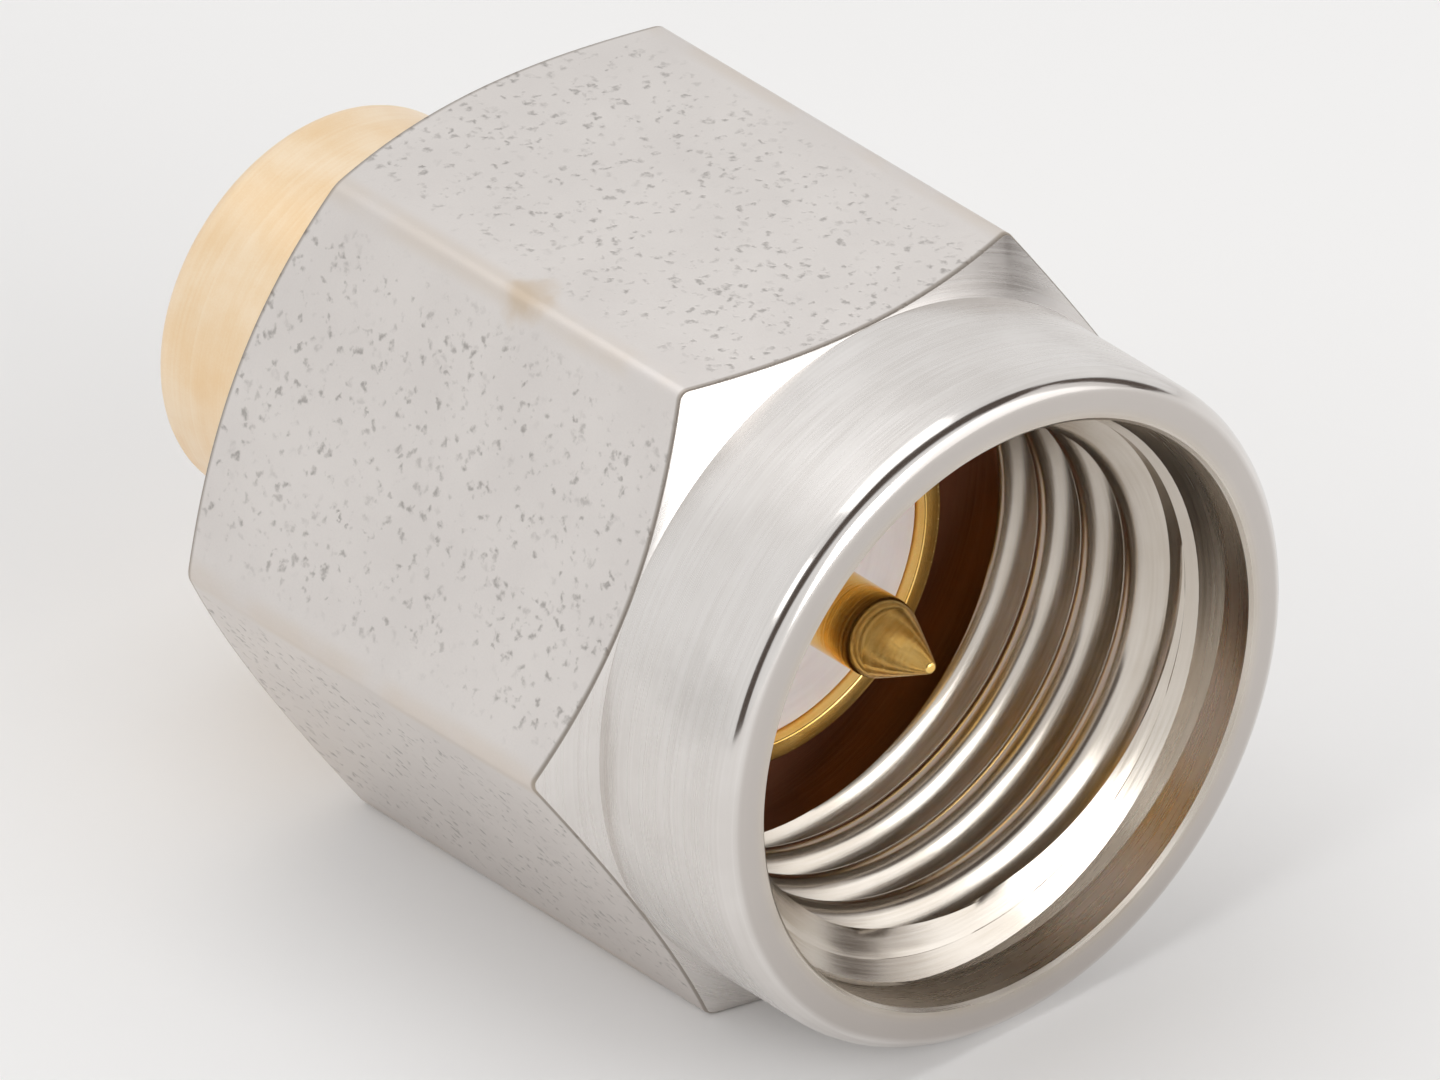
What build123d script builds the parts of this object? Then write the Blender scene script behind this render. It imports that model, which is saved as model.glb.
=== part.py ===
from build123d import *

import math
import os

# Coaxial cable plug with a free-turning coupling nut, to be soldered onto semi-rigid cable.
# It lies on one flat of the nut. X runs along the axis and leaves the mating end, and Z is up.
# The origin is where the axis crosses the mating plane, which is the outer contact's front face.

# Coupling nut, outside
HEX_ACROSS_FLATS = 7.92
HEX_EDGE_RADIUS = 0.10
HEX_CHAMFER_ANGLE = 32.0
COLLAR_UNDERCUT = 0.02
COLLAR_LENGTH = 2.09
COLLAR_EDGE_RADIUS = 0.22
NUT_TAIL_LENGTH = 1.13

# Coupling nut, inside
MATING_PLANE_DEPTH = 3.76
THREAD_DIAMETER = 6.35
THREAD_DEPTH = 0.325
THREAD_LENGTH = 2.45
THREAD_LEAD_IN_LENGTH = 0.40
MOUTH_RELIEF = 0.225
MOUTH_DEPTH = 0.65
MOUTH_CHAMFER = 0.04
NUT_BORE_CHAMFER = 0.15

# Body: outer contact in front, land for the nut, cable ferrule behind
CABLE_BORE_DIAMETER = 3.66
CABLE_BORE_CHAMFER = 0.12
FERRULE_WALL = 0.46
FERRULE_LENGTH = 2.99
FERRULE_EDGE_RADIUS = 0.20
CONTACT_SLEEVE_WALL = 0.235
CONTACT_SLEEVE_LENGTH = 2.29
CONTACT_SLEEVE_EDGE_RADIUS = 0.05
LAND_HEIGHT = 0.455
LAND_RECESS = 0.10

# Insulator and centre contact
INSULATOR_SEAT_WIDTH = 0.22
INSULATOR_LENGTH = 4.00
INSULATOR_RECESS = 0.14
CONTACT_PIN_DIAMETER = 0.914
CONTACT_PIN_LENGTH = 2.50
CONTACT_POINT_LENGTH = 0.78
CONTACT_TIP_DIAMETER = 0.12
SOLDER_CUP_DIAMETER = 0.97
SOLDER_CUP_WALL = 0.15
SOLDER_CUP_DEPTH = 2.00

# Gasket and retaining ring
GASKET_THICKNESS = 0.60
GASKET_WIDTH = 0.695
RING_SETBACK = 0.80
RING_WIDTH = 0.50
RING_BITE = 0.245
RING_GROOVE_DEPTH = 0.455
RING_GAP_ANGLE = 40.0

# Clearances
NUT_RUNNING_CLEARANCE = 0.08
RING_CLEARANCE = 0.06
SEAT_CLEARANCE = 0.01
GASKET_RIM_CLEARANCE = 0.30
GASKET_STEP_CLEARANCE = 0.12

# Radii, from the cable outwards
cable_radius = CABLE_BORE_DIAMETER / 2
ferrule_radius = cable_radius + FERRULE_WALL
insulator_radius = cable_radius + INSULATOR_SEAT_WIDTH
insulator_bore_radius = insulator_radius + SEAT_CLEARANCE
sleeve_radius = insulator_bore_radius + CONTACT_SLEEVE_WALL
gasket_hole_radius = sleeve_radius + SEAT_CLEARANCE
gasket_radius = gasket_hole_radius + GASKET_WIDTH
gasket_room_radius = gasket_radius + GASKET_RIM_CLEARANCE
land_radius = sleeve_radius + LAND_HEIGHT
nut_bore_radius = land_radius + NUT_RUNNING_CLEARANCE
ring_seat_radius = land_radius - RING_GROOVE_DEPTH
ring_outer_radius = nut_bore_radius + RING_BITE
pin_radius = CONTACT_PIN_DIAMETER / 2
solder_cup_radius = SOLDER_CUP_DIAMETER / 2
stem_radius = solder_cup_radius + SOLDER_CUP_WALL
thread_radius = THREAD_DIAMETER / 2
mouth_radius = thread_radius + MOUTH_RELIEF
collar_radius = HEX_ACROSS_FLATS / 2 - COLLAR_UNDERCUT
corner_radius = HEX_ACROSS_FLATS / math.sqrt(3)

# Places along the axis, from the nut's mouth to the ferrule's end
nut_front = MATING_PLANE_DEPTH
hex_front = nut_front - COLLAR_LENGTH
mouth_floor = nut_front - MOUTH_DEPTH
thread_front = mouth_floor - THREAD_LEAD_IN_LENGTH
thread_rear = thread_front - THREAD_LENGTH
pin_tip = CONTACT_PIN_LENGTH
point_rear = pin_tip - CONTACT_POINT_LENGTH
insulator_front = -INSULATOR_RECESS
insulator_rear = insulator_front - INSULATOR_LENGTH
solder_cup_floor = insulator_rear + SOLDER_CUP_DEPTH
land_front = -CONTACT_SLEEVE_LENGTH
gasket_front = land_front + GASKET_THICKNESS
nut_step = land_front - GASKET_STEP_CLEARANCE
ring_front = land_front - RING_SETBACK
ring_rear = ring_front - RING_WIDTH
groove_front = ring_front + RING_CLEARANCE
groove_rear = ring_rear - RING_CLEARANCE
nut_rear = groove_rear - NUT_TAIL_LENGTH
land_rear = nut_rear + LAND_RECESS
body_rear = land_rear - FERRULE_LENGTH


def outline(*points):
    """A closed face in the XY plane, from pairs of place along the axis and radius."""
    return make_face(Polyline(*points, close=True))


def rounded(face, corner, radius):
    """The face with the named corner of its outline rounded."""
    return fillet(face.vertices().sort_by_distance((*corner, 0))[:1], radius)


def turned(face, angle=360.0):
    """The face swept about the plug's axis, as a lathe leaves it."""
    return revolve(face, Axis.X, angle)


def hexagon_bar():
    """Hexagon bar with softly broken edges, both ends turned to a shallow cone."""
    hexagon = RegularPolygon(HEX_ACROSS_FLATS / 2, 6, major_radius=False)
    hexagon = fillet(hexagon.vertices(), HEX_EDGE_RADIUS)
    bar = extrude(Plane.YZ.offset(nut_rear) * hexagon, hex_front - nut_rear)
    cone_length = (corner_radius - collar_radius) * math.tan(math.radians(HEX_CHAMFER_ANGLE))
    blank = turned(outline(
        (hex_front, 0),
        (hex_front, collar_radius),
        (hex_front - cone_length, corner_radius),
        (nut_rear + cone_length, corner_radius),
        (nut_rear, collar_radius),
        (nut_rear, 0),
    ))
    return bar & blank


def collar():
    """Round collar in front of the hexagon, with a rounded rim."""
    rim = (nut_front, collar_radius)
    profile = outline((hex_front, 0), (hex_front, collar_radius), rim, (nut_front, 0))
    return turned(rounded(profile, rim, COLLAR_EDGE_RADIUS))


def nut_hollow():
    """Inside of the nut: mouth, thread at its crests, gasket room, and rear bore with the ring's groove."""
    crest_radius = thread_radius - THREAD_DEPTH
    groove_radius = ring_outer_radius + RING_CLEARANCE
    return turned(outline(
        (nut_front, 0),
        (nut_front, mouth_radius + MOUTH_CHAMFER),
        (nut_front - MOUTH_CHAMFER, mouth_radius),
        (mouth_floor, mouth_radius),
        (thread_front, crest_radius),
        (thread_rear, crest_radius),
        (thread_rear, gasket_room_radius),
        (nut_step, gasket_room_radius),
        (nut_step, nut_bore_radius),
        (groove_front, nut_bore_radius),
        (groove_front, groove_radius),
        (groove_rear, groove_radius),
        (groove_rear, nut_bore_radius),
        (nut_rear + NUT_BORE_CHAMFER, nut_bore_radius),
        (nut_rear, nut_bore_radius + NUT_BORE_CHAMFER),
        (nut_rear, 0),
    ))


def coupling_nut():
    """Stainless nut that turns freely on the body and screws onto the mating jack."""
    return hexagon_bar() + collar() - nut_hollow()


def connector_body():
    """Gold-plated body: outer contact sleeve, land with the ring's groove, and cable ferrule."""
    sleeve_edge = (0, sleeve_radius)
    ferrule_edge = (body_rear, ferrule_radius)
    profile = outline(
        (0, insulator_bore_radius),
        sleeve_edge,
        (land_front, sleeve_radius),
        (land_front, land_radius),
        (groove_front, land_radius),
        (groove_front, ring_seat_radius),
        (groove_rear, ring_seat_radius),
        (groove_rear, land_radius),
        (land_rear, land_radius),
        (land_rear, ferrule_radius),
        ferrule_edge,
        (body_rear, cable_radius + CABLE_BORE_CHAMFER),
        (body_rear + CABLE_BORE_CHAMFER, cable_radius),
        (insulator_rear - SEAT_CLEARANCE, cable_radius),
        (insulator_rear - SEAT_CLEARANCE, insulator_bore_radius),
    )
    profile = rounded(profile, sleeve_edge, CONTACT_SLEEVE_EDGE_RADIUS)
    return turned(rounded(profile, ferrule_edge, FERRULE_EDGE_RADIUS))


def insulator():
    """White fluoropolymer bead that carries the centre contact, a little below the mating plane."""
    hole_radius = stem_radius + SEAT_CLEARANCE
    return turned(outline(
        (insulator_front, hole_radius),
        (insulator_front, insulator_radius),
        (insulator_rear, insulator_radius),
        (insulator_rear, hole_radius),
    ))


def centre_contact():
    """Gold-plated contact: pointed pin, thicker stem in the insulator, and a solder cup behind."""
    return turned(outline(
        (pin_tip, 0),
        (pin_tip, CONTACT_TIP_DIAMETER / 2),
        (point_rear, pin_radius),
        (insulator_front, pin_radius),
        (insulator_front, stem_radius),
        (insulator_rear, stem_radius),
        (insulator_rear, solder_cup_radius),
        (solder_cup_floor, solder_cup_radius),
        (solder_cup_floor, 0),
    ))


def gasket():
    """Silicone washer round the outer contact, seated on the front of the land."""
    return turned(outline(
        (gasket_front, gasket_hole_radius),
        (gasket_front, gasket_radius),
        (land_front, gasket_radius),
        (land_front, gasket_hole_radius),
    ))


def retaining_ring():
    """Split ring, in the body's groove and the nut's, that keeps the nut on the body."""
    inner_radius = ring_seat_radius + RING_CLEARANCE
    section = outline(
        (ring_front, inner_radius),
        (ring_front, ring_outer_radius),
        (ring_rear, ring_outer_radius),
        (ring_rear, inner_radius),
    )
    return turned(section, 360.0 - RING_GAP_ANGLE)


PIECES = [coupling_nut, connector_body, insulator, centre_contact, gasket, retaining_ring]

os.makedirs("parts", exist_ok=True)
for piece in PIECES:
    export_step(piece(), f"parts/{piece.__name__}.step")
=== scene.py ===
import math

import bmesh
import bpy
from mathutils import Euler, Matrix, Vector


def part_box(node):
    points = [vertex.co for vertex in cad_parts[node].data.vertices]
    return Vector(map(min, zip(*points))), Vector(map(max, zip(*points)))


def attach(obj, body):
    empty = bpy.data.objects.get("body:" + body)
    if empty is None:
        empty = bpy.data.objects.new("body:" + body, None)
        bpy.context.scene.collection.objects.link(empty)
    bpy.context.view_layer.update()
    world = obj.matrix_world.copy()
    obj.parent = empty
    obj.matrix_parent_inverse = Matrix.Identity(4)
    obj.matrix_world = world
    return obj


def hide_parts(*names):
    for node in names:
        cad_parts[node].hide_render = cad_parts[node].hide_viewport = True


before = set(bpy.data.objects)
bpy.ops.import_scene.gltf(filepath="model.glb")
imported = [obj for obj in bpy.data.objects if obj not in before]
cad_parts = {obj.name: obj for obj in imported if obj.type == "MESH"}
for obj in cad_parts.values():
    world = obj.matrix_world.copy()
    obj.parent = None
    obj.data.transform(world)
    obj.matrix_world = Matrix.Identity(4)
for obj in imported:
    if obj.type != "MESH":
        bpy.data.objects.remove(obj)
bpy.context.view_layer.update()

# Connector body
# One piece of brass turned on a lathe and plated with gold. Its front is the outer contact sleeve,
# the land in the middle carries the nut, and the ferrule behind is soldered onto the cable.
MM = 0.001
BODY_STEPS = 180
SLEEVE_RADIUS = 2.295 * MM
SLEEVE_BORE_RADIUS = 2.06 * MM
SLEEVE_EDGE = 0.05 * MM
LAND_FRONT = -2.29 * MM
LAND_RECESS = 0.10 * MM
LAND_RADIUS = 2.75 * MM
LAND_EDGE = 0.06 * MM
RING_GROOVE_FRONT = -3.03 * MM
RING_GROOVE_REAR = -3.65 * MM
FERRULE_RADIUS = 2.29 * MM
FERRULE_EDGE = 0.20 * MM
CABLE_BORE_RADIUS = 1.83 * MM
CABLE_BORE_EDGE = 0.12 * MM
INSULATOR_SEAT = -4.15 * MM
FERRULE_GOLD = (0.92, 0.67, 0.40, 1)
FERRULE_GOLD_PALE = (0.99, 0.82, 0.61, 1)
FERRULE_ROUGHNESS = 0.36
CONTACT_GOLD = (0.97, 0.58, 0.13, 1)
CONTACT_GOLD_PALE = (1.0, 0.74, 0.29, 1)
CONTACT_ROUGHNESS = 0.24
GOLD_CLOUDS_PER_MM = 1.3
GOLD_LINES_PER_MM = 26.0
GOLD_GRAIN_PER_MM = 38.0
GOLD_LINE_SHEEN = 0.14
GOLD_GRAIN_SHEEN = 0.10
GOLD_LINE_DEPTH = 0.003 * MM
NOISE_RANGE = (0.3, 0.7)
EDGE_SEGMENTS = 6
MERGE_DISTANCE = 0.0005 * MM
SHARP_ANGLE = 35.0
body_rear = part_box("connector_body")[0][0]
(nut_rear, _, flat_low), (nut_front, _, flat_high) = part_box("coupling_nut")
land_rear = nut_rear + LAND_RECESS


class Shade:
    """A value in a material's node tree. Arithmetic on it adds Math nodes."""

    def __init__(self, tree, socket=None):
        self.tree = tree
        self.socket = socket

    def node(self, kind, settings, inputs, output=0):
        """Any node: its type, its settings, the values or links of its sockets, and one output."""
        made = self.tree.nodes.new(kind)
        for name, value in settings.items():
            setattr(made, name, value)
        for name, value in inputs.items():
            if isinstance(value, Shade):
                self.tree.links.new(value.socket, made.inputs[name])
            else:
                made.inputs[name].default_value = value
        return Shade(self.tree, made.outputs[output])

    def other(self, output):
        """Another output of the same node."""
        return Shade(self.tree, self.socket.node.outputs[output])

    def math(self, operation, *values):
        """One Math node on these values."""
        return self.node("ShaderNodeMath", {"operation": operation}, dict(enumerate(values)))

    def __add__(self, other):
        return self.math("ADD", self, other)

    def __sub__(self, other):
        return self.math("SUBTRACT", self, other)

    def __rsub__(self, other):
        return self.math("SUBTRACT", other, self)

    def __mul__(self, other):
        return self.math("MULTIPLY", self, other)

    __radd__ = __add__
    __rmul__ = __mul__

    def between(self, low, high):
        """0 below low, 1 above high, and smooth between them."""
        limits = {"Value": self, "From Min": low, "From Max": high}
        return self.node("ShaderNodeMapRange", {"interpolation_type": "SMOOTHSTEP"}, limits)

    def tint(self, first, second):
        """The first colour where this value is 0, the second where it is 1."""
        colours = {0: self, 6: first, 7: second}
        return self.node("ShaderNodeMix", {"data_type": "RGBA"}, colours, output=2)

    def noise(self, per_mm, detail=3.0):
        """Soft noise at this point, from 0 to 1."""
        inputs = {"Vector": self, "Scale": per_mm, "Detail": detail}
        return self.node("ShaderNodeTexNoise", {}, inputs)

    def swing(self, amount):
        """A noise from 0 to 1 as a swing about nothing."""
        return (self - 0.5) * amount


def finish_shader(name, **constants):
    """A new material with one Principled shader, whose constant sockets are set here."""
    material = bpy.data.materials.new(name)
    material.use_nodes = True
    shader = material.node_tree.nodes["Principled BSDF"]
    for socket, value in constants.items():
        shader.inputs[socket.replace("_", " ")].default_value = value
    return material, Shade(material.node_tree), shader


def connect(shader, **wires):
    """Links values of the node tree to the shader's sockets."""
    for socket, wire in wires.items():
        wire.tree.links.new(wire.socket, shader.inputs[socket.replace("_", " ")])


def millimetres(shade):
    """Places on the piece in millimetres: the point, along the axis, across it, and the radius."""
    point = shade.node("ShaderNodeTexCoord", {}, {}, output="Object")
    point = shade.node("ShaderNodeVectorMath", {"operation": "SCALE"}, {0: point, "Scale": 1 / MM})
    along = shade.node("ShaderNodeSeparateXYZ", {}, {0: point}, output="X")
    across, up = along.other("Y"), along.other("Z")
    square = across * across + up * up
    return point, along, across, square.math("SQRT", square)


def lathe_lines(along, across, radius, per_mm):
    """Fine grooves round the axis, as a turning tool leaves them."""
    stretched = {"X": along * per_mm, "Y": radius * per_mm, "Z": across}
    return along.node("ShaderNodeCombineXYZ", {}, stretched).noise(1.0)


def bumped(height, depth, strength):
    """A surface normal from a height between 0 and 1."""
    inputs = {"Height": height, "Distance": depth, "Strength": strength}
    return height.node("ShaderNodeBump", {}, inputs)


def gold_plate(name, deep, pale, roughness):
    """Satin gold plate over turned brass."""
    material, shade, shader = finish_shader(name, Metallic=1.0)
    point, along, across, radius = millimetres(shade)
    lines = lathe_lines(along, across, radius, GOLD_LINES_PER_MM)
    cloud = point.noise(GOLD_CLOUDS_PER_MM)
    grain = point.noise(GOLD_GRAIN_PER_MM)
    tone = (cloud * 0.6 + lines * 0.25 + grain * 0.15).between(*NOISE_RANGE)
    connect(
        shader,
        Base_Color=tone.tint(deep, pale),
        Roughness=lines.swing(GOLD_LINE_SHEEN) + grain.swing(GOLD_GRAIN_SHEEN) + roughness,
        Normal=bumped(lines * 0.7 + grain * 0.3, GOLD_LINE_DEPTH, 0.5),
    )
    return material


def turned(name, profile, edges, steps):
    """A piece turned from a closed profile of (place along the axis, radius), its edges rounded."""
    mesh = bmesh.new()
    corners = [mesh.verts.new((x, 0, r)) for x, r in profile]
    outline = [mesh.edges.new(pair) for pair in zip(corners, corners[1:] + corners[:1])]
    bmesh.ops.spin(
        mesh, geom=corners + outline, cent=(0, 0, 0), axis=(1, 0, 0), angle=math.tau, steps=steps,
        use_merge=True,
    )
    bmesh.ops.remove_doubles(mesh, verts=mesh.verts[:], dist=MERGE_DISTANCE)
    bmesh.ops.recalc_face_normals(mesh, faces=mesh.faces[:])
    for (x, r), width in edges:
        round_ring(mesh, x, r, width)
    return finished(name, mesh)


def round_ring(mesh, x, r, width):
    """Rounds the circular edge at one place along the axis and one radius."""
    near = 0.002 * MM

    def on_ring(vert):
        return abs(vert.co.x - x) < near and abs(math.hypot(vert.co.y, vert.co.z) - r) < near

    bmesh.ops.bevel(
        mesh, geom=[edge for edge in mesh.edges if all(map(on_ring, edge.verts))], offset=width,
        offset_type="OFFSET", affect="EDGES", segments=EDGE_SEGMENTS, profile=0.5, material=-1,
        clamp_overlap=True,
    )


def finished(name, mesh, sharp=SHARP_ANGLE):
    """The mesh as an object at the origin, smooth but for its sharp edges."""
    data = bpy.data.meshes.new(name)
    mesh.to_mesh(data)
    mesh.free()
    data.polygons.foreach_set("use_smooth", [True] * len(data.polygons))
    data.set_sharp_from_angle(angle=math.radians(sharp))
    piece = bpy.data.objects.new(name, data)
    bpy.context.collection.objects.link(piece)
    return piece


body = turned(
    "gold_body",
    [
        (0, SLEEVE_BORE_RADIUS),
        (0, SLEEVE_RADIUS),
        (LAND_FRONT, SLEEVE_RADIUS),
        (LAND_FRONT, LAND_RADIUS),
        (RING_GROOVE_FRONT, LAND_RADIUS),
        (RING_GROOVE_FRONT, SLEEVE_RADIUS),
        (RING_GROOVE_REAR, SLEEVE_RADIUS),
        (RING_GROOVE_REAR, LAND_RADIUS),
        (land_rear, LAND_RADIUS),
        (land_rear, FERRULE_RADIUS),
        (body_rear, FERRULE_RADIUS),
        (body_rear, CABLE_BORE_RADIUS),
        (INSULATOR_SEAT, CABLE_BORE_RADIUS),
        (INSULATOR_SEAT, SLEEVE_BORE_RADIUS),
    ],
    [
        ((0, SLEEVE_RADIUS), SLEEVE_EDGE),
        ((0, SLEEVE_BORE_RADIUS), SLEEVE_EDGE / 2),
        ((LAND_FRONT, LAND_RADIUS), LAND_EDGE),
        ((land_rear, LAND_RADIUS), LAND_EDGE),
        ((body_rear, FERRULE_RADIUS), FERRULE_EDGE),
        ((body_rear, CABLE_BORE_RADIUS), CABLE_BORE_EDGE),
    ],
    BODY_STEPS,
)
for plate in [
    gold_plate("ferrule_gold", FERRULE_GOLD, FERRULE_GOLD_PALE, FERRULE_ROUGHNESS),
    gold_plate("sleeve_gold", CONTACT_GOLD, CONTACT_GOLD_PALE, CONTACT_ROUGHNESS),
]:
    body.data.materials.append(plate)
for face in body.data.polygons:
    face.material_index = int(face.center.x > LAND_FRONT)
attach(body, "plug_body")
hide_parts("connector_body")

# Insulator
# A bead of white fluoropolymer pressed into the body. Its turned front face lies a little below the
# sleeve's, and the centre contact sits in its bore.
INSULATOR_STEPS = 120
INSULATOR_RADIUS = 2.05 * MM
INSULATOR_HOLE_RADIUS = 0.645 * MM
INSULATOR_EDGE = 0.04 * MM
INSULATOR_WHITE = (0.80, 0.72, 0.70, 1)
INSULATOR_WHITE_PALE = (0.86, 0.79, 0.775, 1)
INSULATOR_IOR = 1.35
INSULATOR_GLOW = 0.15
INSULATOR_GLOW_DEPTH = 0.3 * MM
INSULATOR_CLOUDS_PER_MM = 2.2
INSULATOR_RINGS_PER_MM = 14.0
INSULATOR_RING_DEPTH = 0.004 * MM
INSULATOR_ROUGHNESS = 0.48
INSULATOR_SHEEN = 0.2
(insulator_rear, _, _), (insulator_front, _, _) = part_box("insulator")

insulator = turned(
    "white_insulator",
    [
        (insulator_front, INSULATOR_HOLE_RADIUS),
        (insulator_front, INSULATOR_RADIUS),
        (insulator_rear, INSULATOR_RADIUS),
        (insulator_rear, INSULATOR_HOLE_RADIUS),
    ],
    [
        ((insulator_front, INSULATOR_RADIUS), INSULATOR_EDGE),
        ((insulator_front, INSULATOR_HOLE_RADIUS), INSULATOR_EDGE / 2),
        ((insulator_rear, INSULATOR_RADIUS), INSULATOR_EDGE),
    ],
    INSULATOR_STEPS,
)


def fluoropolymer(name):
    """Waxy white plastic with the tool's faint rings."""
    material, shade, shader = finish_shader(
        name, IOR=INSULATOR_IOR, Subsurface_Weight=INSULATOR_GLOW,
        Subsurface_Scale=INSULATOR_GLOW_DEPTH,
    )
    point, along, across, radius = millimetres(shade)
    rings = lathe_lines(along, across, radius, INSULATOR_RINGS_PER_MM)
    cloud = point.noise(INSULATOR_CLOUDS_PER_MM)
    tone = (rings * 0.4 + cloud * 0.6).between(*NOISE_RANGE)
    connect(
        shader,
        Base_Color=tone.tint(INSULATOR_WHITE, INSULATOR_WHITE_PALE),
        Roughness=cloud.swing(INSULATOR_SHEEN) + INSULATOR_ROUGHNESS,
        Normal=bumped(rings, INSULATOR_RING_DEPTH, 0.5),
    )
    return material


insulator.data.materials.append(fluoropolymer("insulator_white"))
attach(insulator, "plug_body")
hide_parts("insulator")

# Centre contact
# A brass pin, turned to a sharp cone and plated with gold. Its thicker stem is held in the
# insulator, and the solder cup behind it takes the cable's inner conductor.
CONTACT_STEPS = 96
PIN_RADIUS = 0.457 * MM
POINT_LENGTH = 0.78 * MM
POINT_EDGE = 0.11 * MM
TIP_RADIUS = 0.06 * MM
TIP_EDGE = 0.03 * MM
STEM_RADIUS = 0.635 * MM
STEM_EDGE = 0.03 * MM
CUP_RADIUS = 0.485 * MM
CUP_DEPTH = 2.0 * MM
CONTACT_AXIS = 0.002 * MM
PIN_ROUGHNESS = 0.17
(contact_rear, _, _), (pin_tip, _, _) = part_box("centre_contact")

contact = turned(
    "gold_pin",
    [
        (pin_tip, CONTACT_AXIS),
        (pin_tip, TIP_RADIUS),
        (pin_tip - POINT_LENGTH, PIN_RADIUS),
        (insulator_front, PIN_RADIUS),
        (insulator_front, STEM_RADIUS),
        (contact_rear, STEM_RADIUS),
        (contact_rear, CUP_RADIUS),
        (contact_rear + CUP_DEPTH, CUP_RADIUS),
        (contact_rear + CUP_DEPTH, CONTACT_AXIS),
    ],
    [
        ((pin_tip, TIP_RADIUS), TIP_EDGE),
        ((pin_tip - POINT_LENGTH, PIN_RADIUS), POINT_EDGE),
        ((insulator_front, STEM_RADIUS), STEM_EDGE),
    ],
    CONTACT_STEPS,
)
contact.data.materials.append(
    gold_plate("pin_gold", CONTACT_GOLD, CONTACT_GOLD_PALE, PIN_ROUGHNESS)
)
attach(contact, "plug_body")
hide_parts("centre_contact")

# Gasket
# A washer moulded in dark red silicone rubber. It is stretched over the sleeve and sits on the
# land, where the rim of the mating jack presses on it.
GASKET_STEPS = 120
GASKET_HOLE_RADIUS = 2.305 * MM
GASKET_RADIUS = 3.0 * MM
GASKET_EDGE = 0.12 * MM
GASKET_RED = (0.33, 0.11, 0.055, 1)
GASKET_RED_PALE = (0.46, 0.175, 0.095, 1)
GASKET_IOR = 1.42
GASKET_CLOUDS_PER_MM = 3.0
GASKET_SKIN_PER_MM = 30.0
GASKET_SKIN_DEPTH = 0.006 * MM
GASKET_ROUGHNESS = 0.55
GASKET_SHEEN = 0.2
(gasket_rear, _, _), (gasket_front, _, _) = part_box("gasket")

gasket = turned(
    "silicone_gasket",
    [
        (gasket_front, GASKET_HOLE_RADIUS),
        (gasket_front, GASKET_RADIUS),
        (gasket_rear, GASKET_RADIUS),
        (gasket_rear, GASKET_HOLE_RADIUS),
    ],
    [
        ((x, r), GASKET_EDGE)
        for x in (gasket_front, gasket_rear)
        for r in (GASKET_HOLE_RADIUS, GASKET_RADIUS)
    ],
    GASKET_STEPS,
)


def silicone(name):
    """Soft matt rubber, a little mottled."""
    material, shade, shader = finish_shader(name, IOR=GASKET_IOR)
    point, _, _, _ = millimetres(shade)
    skin = point.noise(GASKET_SKIN_PER_MM)
    tone = point.noise(GASKET_CLOUDS_PER_MM).between(*NOISE_RANGE)
    connect(
        shader,
        Base_Color=tone.tint(GASKET_RED, GASKET_RED_PALE),
        Roughness=skin.swing(GASKET_SHEEN) + GASKET_ROUGHNESS,
        Normal=bumped(skin, GASKET_SKIN_DEPTH, 0.5),
    )
    return material


gasket.data.materials.append(silicone("gasket_rubber"))
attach(gasket, "plug_body")
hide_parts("gasket")

# Retaining ring
# A split ring of springy copper alloy. It sits half in the body's groove and half in the nut's, and
# keeps the nut on the body while it turns.
RING_ALLOY = (0.55, 0.38, 0.20, 1)
RING_ALLOY_PALE = (0.66, 0.48, 0.27, 1)
RING_ROUGHNESS = 0.38
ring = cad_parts["retaining_ring"]
ring.data.materials.clear()
ring.data.materials.append(gold_plate("ring_alloy", RING_ALLOY, RING_ALLOY_PALE, RING_ROUGHNESS))

# Coupling nut
# Hexagon stainless bar with both ends turned to a cone, and a round collar turned in front. The
# flats keep the fine pitting of tumbled bar, and the bore is threaded to screw onto the jack.
FLAT_CUTS = 31
RIDGE_RADIUS = 0.16 * MM
RIDGE_SEGMENTS = 6
COLLAR_RADIUS = 3.94 * MM
COLLAR_LENGTH = 2.09 * MM
COLLAR_EDGE = 0.28 * MM
CONE_SLOPE = math.tan(math.radians(32.0))
CONE_EDGE = 0.03 * MM
CONE_EDGE_SEGMENTS = 3
MOUTH_RADIUS = 3.40 * MM
MOUTH_CHAMFER = 0.04 * MM
MOUTH_DEPTH = 0.65 * MM
LEAD_IN_LENGTH = 0.40 * MM
THREAD_ROOT_RADIUS = 3.175 * MM
THREAD_CREST_RADIUS = 2.85 * MM
THREAD_REAR = 0.26 * MM
THREAD_RELIEF_CONE = 0.05 * MM
GASKET_ROOM_RADIUS = 3.30 * MM
GASKET_ROOM_REAR = -2.41 * MM
NUT_BORE_RADIUS = 2.83 * MM
NUT_GROOVE_RADIUS = 3.135 * MM
NUT_BORE_EDGE = 0.15 * MM
NUT_SHARP_ANGLE = 30.0
flat_radius = (flat_high - flat_low) / 2
hex_front = nut_front - COLLAR_LENGTH
mouth_floor = nut_front - MOUTH_DEPTH
lead_in_slope = (MOUTH_RADIUS - THREAD_CREST_RADIUS) / LEAD_IN_LENGTH
root_front = mouth_floor - (MOUTH_RADIUS - THREAD_ROOT_RADIUS) / lead_in_slope

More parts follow.
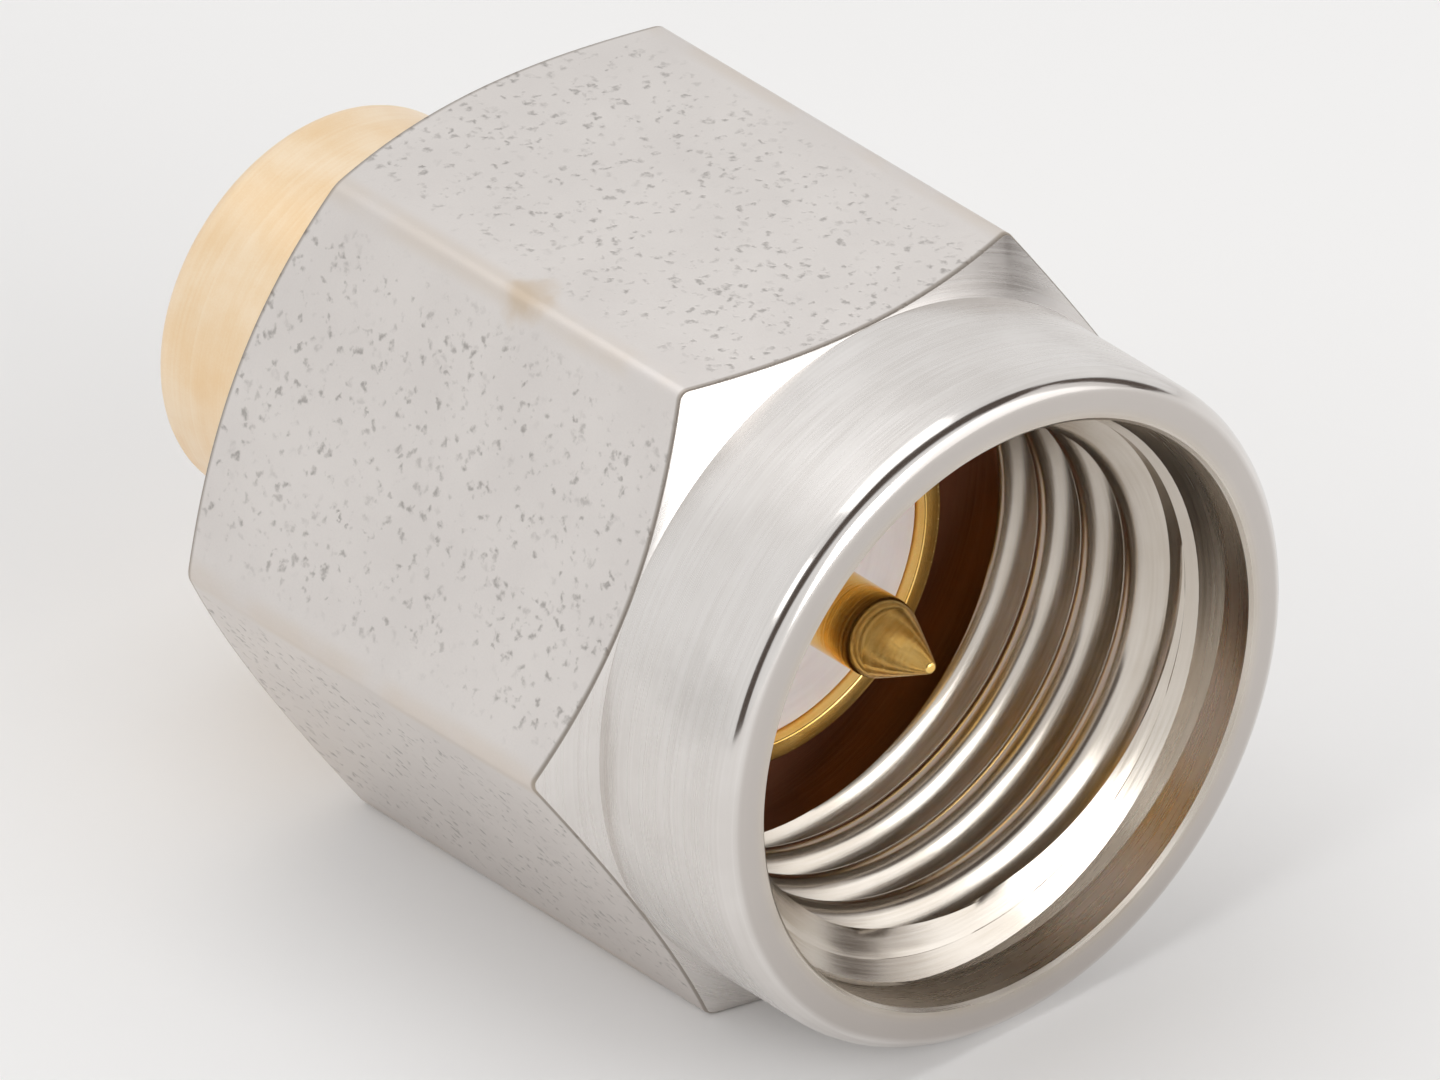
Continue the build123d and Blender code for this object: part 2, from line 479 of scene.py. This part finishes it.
nut_mesh = bmesh.new()
hexagon = bmesh.ops.create_circle(
    nut_mesh, cap_ends=True, segments=6, radius=2 * flat_radius / math.sqrt(3),
    matrix=Matrix.Rotation(math.pi / 2, 4, "Y"),
)
bmesh.ops.bevel(
    nut_mesh, geom=hexagon["verts"], offset=RIDGE_RADIUS * math.tan(math.pi / 6),
    offset_type="OFFSET", affect="VERTICES", segments=RIDGE_SEGMENTS, profile=0.5, material=-1,
)
sides = [e for e in nut_mesh.edges if e.calc_length() > flat_radius / 2]
bmesh.ops.subdivide_edges(nut_mesh, edges=sides, cuts=FLAT_CUTS)
bmesh.ops.delete(nut_mesh, geom=nut_mesh.faces[:], context="FACES_ONLY")


def cone_depth(vert):
    """How far the turned cone at the bar's end cuts back at this vertex."""
    return max(math.hypot(vert.co.y, vert.co.z) - COLLAR_RADIUS, 0) * CONE_SLOPE


def next_ring(mesh, ring, place):
    """The ring of edges that an extrusion makes, with each vertex put where place says."""
    made = bmesh.ops.extrude_edge_only(mesh, edges=ring)["geom"]
    verts = {v for v in made if isinstance(v, bmesh.types.BMVert)}
    for vert in verts:
        vert.co = place(vert)
    return [e for e in made if isinstance(e, bmesh.types.BMEdge) and verts.issuperset(e.verts)]


def on_circle(x, r):
    """Puts a vertex on the circle at one place along the axis, at the angle that it has."""
    def place(vert):
        return Vector((x, *(Vector((vert.co.y, vert.co.z)).normalized() * r)))
    return place


rear_ring = nut_mesh.edges[:]
for vert in nut_mesh.verts:
    vert.co.x = nut_rear + cone_depth(vert)
front_ring = next_ring(
    nut_mesh, rear_ring, lambda vert: Vector((hex_front - cone_depth(vert), vert.co.y, vert.co.z))
)
flats = set(nut_mesh.faces)
ring_edges = front_ring
for x, r in [
    (hex_front, COLLAR_RADIUS),
    (nut_front, COLLAR_RADIUS),
    (nut_front, MOUTH_RADIUS + MOUTH_CHAMFER),
    (nut_front - MOUTH_CHAMFER, MOUTH_RADIUS),
    (mouth_floor, MOUTH_RADIUS),
    (root_front, THREAD_ROOT_RADIUS),
    (THREAD_REAR, THREAD_ROOT_RADIUS),
    (THREAD_REAR - THREAD_RELIEF_CONE, GASKET_ROOM_RADIUS),
    (GASKET_ROOM_REAR, GASKET_ROOM_RADIUS),
    (GASKET_ROOM_REAR, NUT_BORE_RADIUS),
    (RING_GROOVE_FRONT, NUT_BORE_RADIUS),
    (RING_GROOVE_FRONT, NUT_GROOVE_RADIUS),
    (RING_GROOVE_REAR, NUT_GROOVE_RADIUS),
    (RING_GROOVE_REAR, NUT_BORE_RADIUS),
    (nut_rear, NUT_BORE_RADIUS),
    (nut_rear, COLLAR_RADIUS),
]:
    ring_edges = next_ring(nut_mesh, ring_edges, on_circle(x, r))
bmesh.ops.bridge_loops(nut_mesh, edges=rear_ring + ring_edges)
for face in nut_mesh.faces:
    face.material_index = int(face not in flats)
bmesh.ops.recalc_face_normals(nut_mesh, faces=nut_mesh.faces[:])
bmesh.ops.bevel(
    nut_mesh, geom=rear_ring + front_ring, offset=CONE_EDGE, offset_type="OFFSET", affect="EDGES",
    segments=CONE_EDGE_SEGMENTS, profile=0.5, material=0, clamp_overlap=True,
)
round_ring(nut_mesh, nut_front, COLLAR_RADIUS, COLLAR_EDGE)
round_ring(nut_mesh, nut_rear, NUT_BORE_RADIUS, NUT_BORE_EDGE)

# Its thread is one right-hand ridge wound inside the bore, with a rounded crest. It ends square at
# the relief behind it, and in front it fades into the wall, where the mouth's cone cuts its first
# turn.
PITCH = 25.4 / 36 * MM
THREAD_STEPS = 120
THREAD_TURNS = 4.9
THREAD_FADE_TURNS = 0.35
THREAD_PHASE = 0.20 * MM
RIDGE_FOOT_HALF = 0.315 * MM
RIDGE_CREST_HALF = 0.125 * MM
RIDGE_SINK = 0.03 * MM
CREST_EDGE = 0.11 * MM
CREST_SEGMENTS = 4
thread_start = THREAD_REAR + THREAD_PHASE - PITCH

thread_mesh = bmesh.new()
corners = [
    thread_mesh.verts.new((thread_start + x, 0, r))
    for x, r in [
        (-RIDGE_FOOT_HALF, THREAD_ROOT_RADIUS + RIDGE_SINK),
        (-RIDGE_CREST_HALF, THREAD_CREST_RADIUS),
        (RIDGE_CREST_HALF, THREAD_CREST_RADIUS),
        (RIDGE_FOOT_HALF, THREAD_ROOT_RADIUS + RIDGE_SINK),
    ]
]
outline = [thread_mesh.edges.new(pair) for pair in zip(corners, corners[1:] + corners[:1])]
bmesh.ops.spin(
    thread_mesh, geom=corners + outline, cent=(0, 0, 0), axis=(1, 0, 0),
    dvec=(PITCH / THREAD_STEPS, 0, 0), angle=math.tau * THREAD_TURNS,
    steps=round(THREAD_STEPS * THREAD_TURNS),
)
bmesh.ops.holes_fill(thread_mesh, edges=[e for e in thread_mesh.edges if e.is_boundary], sides=0)
bmesh.ops.recalc_face_normals(thread_mesh, faces=thread_mesh.faces[:])
crest = THREAD_CREST_RADIUS + RIDGE_SINK
bmesh.ops.bevel(
    thread_mesh,
    geom=[
        e for e in thread_mesh.edges
        if all(math.hypot(v.co.y, v.co.z) < crest for v in e.verts)
        and abs(e.verts[0].co.x - e.verts[1].co.x) < RIDGE_CREST_HALF
    ],
    offset=CREST_EDGE, offset_type="OFFSET", affect="EDGES", segments=CREST_SEGMENTS, profile=0.5,
    material=-1,
)
for vert in thread_mesh.verts:
    angle = math.atan2(-vert.co.y, vert.co.z) / math.tau
    turn = angle + round((vert.co.x - thread_start) / PITCH - angle)
    fade = max(0.0, min(1.0, (THREAD_TURNS - turn) / THREAD_FADE_TURNS))
    r = math.hypot(vert.co.y, vert.co.z)
    lead_in = MOUTH_RADIUS - (mouth_floor - vert.co.x) * lead_in_slope
    foot = max(THREAD_ROOT_RADIUS, min(MOUTH_RADIUS, lead_in)) + RIDGE_SINK
    wanted = min(foot, max(foot - (foot - r) * fade, lead_in))
    if lead_in > THREAD_ROOT_RADIUS:
        wanted = foot
    vert.co.y *= wanted / r
    vert.co.z *= wanted / r
bmesh.ops.bisect_plane(
    thread_mesh, geom=thread_mesh.verts[:] + thread_mesh.edges[:] + thread_mesh.faces[:],
    plane_co=(THREAD_REAR, 0, 0), plane_no=(1, 0, 0), clear_inner=True,
)
bmesh.ops.holes_fill(thread_mesh, edges=[e for e in thread_mesh.edges if e.is_boundary], sides=0)
bmesh.ops.recalc_face_normals(thread_mesh, faces=thread_mesh.faces[:])
for face in thread_mesh.faces:
    face.material_index = 1
thread_data = bpy.data.meshes.new("thread")
thread_mesh.to_mesh(thread_data)
thread_mesh.free()
nut_mesh.from_mesh(thread_data)
bpy.data.meshes.remove(thread_data)
nut = finished("hexagon_nut", nut_mesh, NUT_SHARP_ANGLE)

# Its steel is matt and pitted on the flats, and satin where it was turned and polished on the rim's
# rounding, with a light stain on the ridges and a darker patch on the collar. Painted shade makes
# the bore darker and browner, darkens the rim's front face and draws a dark line where the flats
# meet the end cones. Radii and depths are in millimetres, in pairs that a finish changes between.
FLAT_STEEL = (0.71, 0.67, 0.643, 1)
FLAT_STEEL_PALE = (0.76, 0.72, 0.69, 1)
PIT_STEEL = (0.29, 0.275, 0.26, 1)
# Painted shade: the dark line where the flats meet the end cones.
EDGE_SHADE_STEEL = (0.22, 0.18, 0.14, 1)
TURNED_STEEL = (0.69, 0.655, 0.625, 1)
TURNED_STEEL_PALE = (0.80, 0.77, 0.745, 1)
# Painted shade: the bore's steel, darker and browner than the collar's.
BORE_SHADE_STEEL = (0.56, 0.50, 0.43, 1)
BORE_SHADE_STEEL_PALE = (0.68, 0.63, 0.57, 1)
RIDGE_STAIN = (0.60, 0.47, 0.33, 1)
# Painted shade: darker steel on the rim's front face.
RIM_FACE_SHADE_STEEL = (0.56, 0.52, 0.49, 1)
COLLAR_DARK_PATCH = (0.40, 0.38, 0.36, 1)
FLAT_CLOUDS_PER_MM = 0.9
FLAT_GRAIN_PER_MM = 45.0
FLAT_ROUGHNESS = 0.42
FLAT_SHEEN = 0.15
PITS_PER_MM = 7.0
PIT_REACH = (0.04, 0.46)
PIT_CHANCE = (0.15, 0.7)
PIT_WANDER = 0.26
PIT_WANDER_PER_MM = 8.0
PIT_DEPTH = 0.008 * MM
PIT_DARKNESS = 0.6
PIT_ROUGHNESS = 0.2
RIDGE_FREE_OF_PITS = (4.25, 4.50)
EDGE_SHADE_LINE = (0.06, 0.01)
EDGE_SHADE_DARKNESS = 0.7
RIDGE_STAIN_PLACE = (-1.3, -2.2, 3.9)
RIDGE_STAIN_SIZE = 0.42
RIDGE_STAIN_STRENGTH = 0.5
RIDGE_TOP = (4.44, 4.53)
RIDGE_TOP_CLOUDS = (0.3, 0.6)
RIDGE_TOP_STRENGTH = 0.24
COLLAR_DARK_PATCH_PLACE = (3.0, -3.67, 1.42)
COLLAR_DARK_PATCH_SIZE = 0.8
COLLAR_DARK_PATCH_STRENGTH = 0.18
COLLAR_WALL = (3.42, 3.60)
MOUTH_WALL = (3.30, 3.38)
RIM_ROUNDING = (0.32, 0.24)
RIM_FACE_SHADE = (0.05, 0.01)
RIM_FACE_SHADE_STRENGTH = 0.9
LATHE_CLOUDS_PER_MM = 1.1
LATHE_BANDS_PER_MM = 6.0
LATHE_LINES_PER_MM = 30.0
LATHE_LINE_DEPTH = 0.003 * MM
LATHE_ROUGHNESS = 0.22
LATHE_LINE_SHEEN = 0.14
LATHE_BAND_SHEEN = 0.08
MOUTH_ROUGHNESS = 0.06
RIM_POLISH = 0.14
STAIN_RAGGED_PER_MM = 4.0


def spot(point, place, size):
    """1 at a place on the piece, fading out to 0 with a ragged edge."""
    ends = {0: point, 1: place}
    away = point.node("ShaderNodeVectorMath", {"operation": "DISTANCE"}, ends, output="Value")
    return 1 - (away + point.noise(STAIN_RAGGED_PER_MM).swing(size)).between(size * 0.2, size)


def tumbled_steel(name):
    """Matt stainless with small dark pits, which thin out towards the ridges, and a line of painted
    shade where the flats meet the end cones.
    """
    material, shade, shader = finish_shader(name, Metallic=1.0)
    point, along, across, radius = millimetres(shade)
    grain = point.noise(FLAT_GRAIN_PER_MM)
    cloud = point.noise(FLAT_CLOUDS_PER_MM)
    tone = (cloud * 0.6 + grain * 0.4).between(*NOISE_RANGE)

    bend = {0: point.noise(PIT_WANDER_PER_MM).other("Color"), 1: [PIT_WANDER] * 3, 2: point}
    bent = point.node("ShaderNodeVectorMath", {"operation": "MULTIPLY_ADD"}, bend)
    gap = bent.node("ShaderNodeTexVoronoi", {}, {"Vector": bent, "Scale": PITS_PER_MM})
    chosen = gap.other("Color").between(*PIT_CHANCE)
    pit = (1 - gap.between(*PIT_REACH)) * chosen * (1 - radius.between(*RIDGE_FREE_OF_PITS))

    # Painted shade: a thin dark line along the edge where the flats meet the end cones.
    from_middle = along - (hex_front + nut_rear) / 2 / MM
    cone = from_middle.math("ABSOLUTE", from_middle) + radius * CONE_SLOPE
    cone_limit = (hex_front - nut_rear) / 2 / MM + COLLAR_RADIUS / MM * CONE_SLOPE
    edge = cone.between(*(cone_limit - depth for depth in EDGE_SHADE_LINE))

    stain = spot(point, RIDGE_STAIN_PLACE, RIDGE_STAIN_SIZE) * RIDGE_STAIN_STRENGTH
    ridge_top = radius.between(*RIDGE_TOP) * cloud.between(*RIDGE_TOP_CLOUDS)
    stain = stain + ridge_top * RIDGE_TOP_STRENGTH

    steel = tone.tint(FLAT_STEEL, FLAT_STEEL_PALE)
    steel = (pit * PIT_DARKNESS).tint(steel, PIT_STEEL)
    steel = (edge * EDGE_SHADE_DARKNESS).tint(steel, EDGE_SHADE_STEEL)
    connect(
        shader,
        Base_Color=stain.tint(steel, RIDGE_STAIN),
        Roughness=grain.swing(FLAT_SHEEN) + pit * PIT_ROUGHNESS + FLAT_ROUGHNESS,
        Normal=bumped(grain * 0.1 - pit, PIT_DEPTH, 0.6),
    )
    return material


def turned_steel(name):
    """Satin stainless with fine lathe lines, with painted shade making it darker and browner inside
    the mouth and darker on the rim's front face.
    """
    material, shade, shader = finish_shader(name, Metallic=1.0)
    point, along, across, radius = millimetres(shade)
    cloud = point.noise(LATHE_CLOUDS_PER_MM)
    lines = lathe_lines(along, across, radius, LATHE_LINES_PER_MM)
    bands = lathe_lines(along, across, radius, LATHE_BANDS_PER_MM)
    tone = (cloud * 0.4 + lines * 0.35 + bands * 0.25).between(*NOISE_RANGE)

    outside = radius.between(*COLLAR_WALL)
    mouth_wall = radius.between(*MOUTH_WALL)
    rounding = along.between(*(nut_front / MM - depth for depth in RIM_ROUNDING)) * outside
    # Painted shade: the rim's front face is darkened.
    rim_face_shade = along.between(*(nut_front / MM - depth for depth in RIM_FACE_SHADE))
    # A darker patch on the collar's lower left.
    dark_patch = spot(point, COLLAR_DARK_PATCH_PLACE, COLLAR_DARK_PATCH_SIZE)

    # Painted shade: the bore is darker and browner than the collar.
    bore = tone.tint(BORE_SHADE_STEEL, BORE_SHADE_STEEL_PALE)
    collar = tone.tint(TURNED_STEEL, TURNED_STEEL_PALE)
    collar = (dark_patch * COLLAR_DARK_PATCH_STRENGTH).tint(collar, COLLAR_DARK_PATCH)
    collar = (rim_face_shade * RIM_FACE_SHADE_STRENGTH).tint(collar, RIM_FACE_SHADE_STEEL)
    sheen = lines.swing(LATHE_LINE_SHEEN) + bands.swing(LATHE_BAND_SHEEN)
    connect(
        shader,
        Base_Color=outside.tint(bore, collar),
        Roughness=sheen + mouth_wall * MOUTH_ROUGHNESS + LATHE_ROUGHNESS - rounding * RIM_POLISH,
        Normal=bumped(lines * 0.6 + bands * 0.4, LATHE_LINE_DEPTH, 0.4),
    )
    return material


nut.data.materials.append(tumbled_steel("flats_steel"))
nut.data.materials.append(turned_steel("collar_steel"))
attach(nut, "nut")
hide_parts("coupling_nut")

# Floor
# A plain sheet of white paper under the lowest flat. It is lifted a little where the camera or the
# metal sees it, and keeps the plug's soft shadow.
FLOOR_SIZE = 0.6
FLOOR_GAP = 0.005 * MM
FLOOR_WHITE = (0.86, 0.855, 0.85, 1)
FLOOR_LIFT = 0.04
floor_mesh = bmesh.new()
bmesh.ops.create_grid(
    floor_mesh, x_segments=1, y_segments=1, size=FLOOR_SIZE / 2,
    matrix=Matrix.Translation((0, 0, flat_low - FLOOR_GAP)),
)
floor = finished("floor", floor_mesh)
paper = bpy.data.materials.new("floor_paper")
paper.use_nodes = True
paper.node_tree.nodes.remove(paper.node_tree.nodes["Principled BSDF"])
sheet = Shade(paper.node_tree)
path = sheet.node("ShaderNodeLightPath", {}, {}, output="Is Camera Ray")
seen = path + path.other("Is Glossy Ray") + path.other("Is Transmission Ray")
lit = sheet.node("ShaderNodeBsdfDiffuse", {}, {"Color": FLOOR_WHITE})
glow = sheet.node("ShaderNodeEmission", {}, {"Strength": seen * FLOOR_LIFT})
both = sheet.node("ShaderNodeAddShader", {}, {0: lit, 1: glow})
output = paper.node_tree.nodes["Material Output"]
paper.node_tree.links.new(both.socket, output.inputs["Surface"])
floor.data.materials.append(paper)

# Camera
# It stands in front of the mouth, to its left and above it, half a metre off with a long lens, and
# is turned a little about its own axis.
CAMERA_AZIMUTH = math.radians(50.8)
CAMERA_ELEVATION = math.radians(33.0)
CAMERA_ROLL = math.radians(-2.5)
CAMERA_DISTANCE = 0.5
FRAME_WIDTH = 15.28 * MM
CAMERA_AIM = Vector((1.027, -1.630, 1.677)) * MM
SENSOR_WIDTH = 36.0
camera_data = bpy.data.cameras.new("camera")
camera_data.sensor_width = SENSOR_WIDTH
camera_data.lens = SENSOR_WIDTH * CAMERA_DISTANCE / FRAME_WIDTH
camera_data.clip_start = 0.01
camera_data.clip_end = 10.0
camera = bpy.data.objects.new("camera", camera_data)
aimed = Euler((math.pi / 2 - CAMERA_ELEVATION, 0, CAMERA_AZIMUTH)).to_matrix()
aimed = aimed @ Matrix.Rotation(CAMERA_ROLL, 3, "Z")
stand = CAMERA_AIM + aimed @ Vector((0, 0, CAMERA_DISTANCE))
camera.matrix_world = Matrix.Translation(stand) @ aimed.to_4x4()
bpy.context.collection.objects.link(camera)
bpy.context.scene.camera = camera

# Light
# A soft studio: a pale room with a dark strip round the plug's axis, which draws the dark line on
# the rim, and soft boxes overhead, before the mouth, at both sides and, weaker, at the back.
ROOM_WHITE = (0.88, 0.88, 0.88, 1)
ROOM_SHADE = (0.10, 0.08, 0.07, 1)
ROOM_SHADE_NEAR = (0.20, 0.27)
ROOM_SHADE_FAR = (0.58, 0.66)
world = bpy.data.worlds.new("studio")
bpy.context.scene.world = world
world.use_nodes = True
room = Shade(world.node_tree)
toward = room.node("ShaderNodeTexCoord", {}, {}, output="Generated")
forward = room.node("ShaderNodeSeparateXYZ", {}, {0: toward}, output="X")
shaded = forward.between(*ROOM_SHADE_NEAR) * (1 - forward.between(*ROOM_SHADE_FAR))
connect(world.node_tree.nodes["Background"], Color=shaded.tint(ROOM_WHITE, ROOM_SHADE))


def soft_lamp(name, place, size, radiance):
    """A square soft box of a given size and brightness, turned to the plug."""
    lamp = bpy.data.lights.new(name, "AREA")
    lamp.size = size
    lamp.energy = radiance * math.pi * size * size
    holder = bpy.data.objects.new(name, lamp)
    holder.location = place
    holder.rotation_euler = (-Vector(place)).to_track_quat("-Z", "Y").to_euler()
    bpy.context.collection.objects.link(holder)


soft_lamp("lamp_top", place=(-0.03, 0.0, 0.216), size=0.16, radiance=0.9)
soft_lamp("lamp_front", place=(0.19, 0.006, 0.064), size=0.10, radiance=3.4)
soft_lamp("lamp_left", place=(0.010, -0.141, 0.141), size=0.06, radiance=1.6)
soft_lamp("lamp_right", place=(0.156, 0.116, 0.044), size=0.17, radiance=0.7)
soft_lamp("lamp_back", place=(-0.13, -0.05, 0.144), size=0.08, radiance=0.15)

bpy.context.scene.view_settings.view_transform = "Standard"
